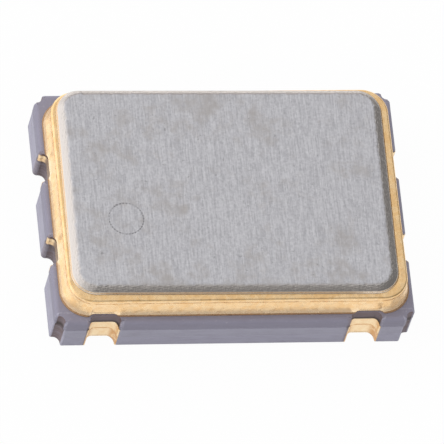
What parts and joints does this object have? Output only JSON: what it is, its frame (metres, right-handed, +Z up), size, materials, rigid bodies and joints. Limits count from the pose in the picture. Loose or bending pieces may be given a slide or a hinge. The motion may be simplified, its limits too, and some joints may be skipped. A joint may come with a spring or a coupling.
{
  "type": "crystal oscillator",
  "caption": "Flat surface-mount crystal clock oscillator: dark ceramic package with gold-lined edge notches, a gold seal ring and a welded grey metal lid.",
  "frame": {"origin": "centre of the solder face, under the middle of the package", "axes": "+X along the long side, with pin 1 at the -X -Y corner; +Z up, out of the lid"},
  "size_m": [0.007, 0.005, 0.0015],
  "materials": {
    "ceramic": "matt fired dark alumina, grey-violet",
    "nickel_plate": "nickel plate with fine rolling lines",
    "seal_gold": "satin gold plate",
    "contact_gold": "dull gold plate over printed metal",
    "wire_gold": "bright gold wire",
    "film_gold": "bright evaporated film",
    "tungsten": "fired tungsten fill",
    "silver_adhesive": "silver-filled adhesive",
    "quartz": "lapped clear quartz",
    "silicon": "polished silicon with fine circuit lines",
    "pad_aluminium": "sputtered metal"
  },
  "bodies": {
    "root": {"adhesive_dot_1": "silver_adhesive", "adhesive_dot_2": "silver_adhesive", "bond_wire_1": "wire_gold", "bond_wire_10": "wire_gold", "bond_wire_2": "wire_gold", "bond_wire_3": "wire_gold", "bond_wire_4": "wire_gold", "bond_wire_5": "wire_gold", "bond_wire_6": "wire_gold", "bond_wire_7": "wire_gold", "bond_wire_8": "wire_gold", "bond_wire_9": "wire_gold", "braze_joint": "seal_gold", "ceramic_body": "ceramic", "chip_bond_pads": "pad_aluminium", "crystal_land_1": "contact_gold", "crystal_land_2": "contact_gold", "crystal_via_1": "tungsten", "crystal_via_2": "tungsten", "die_attach": "silver_adhesive", "die_pad": "contact_gold", "electrode_bottom": "film_gold", "electrode_top": "film_gold", "lead_1": "contact_gold", "lead_10": "contact_gold", "lead_2": "contact_gold", "lead_3": "contact_gold", "lead_4": "contact_gold", "lead_5": "contact_gold", "lead_6": "contact_gold", "lead_7": "contact_gold", "lead_8": "contact_gold", "lead_9": "contact_gold", "lid": "nickel_plate", "oscillator_chip": "silicon", "quartz_blank": "quartz", "seal_land": "seal_gold", "seal_ring": "seal_gold", "side_contact_1": "contact_gold", "side_contact_2": "contact_gold", "side_contact_3": "contact_gold", "side_contact_4": "contact_gold", "terminal_1": "contact_gold", "terminal_2": "contact_gold", "terminal_3": "contact_gold", "terminal_4": "contact_gold"}
  },
  "joints": []
}
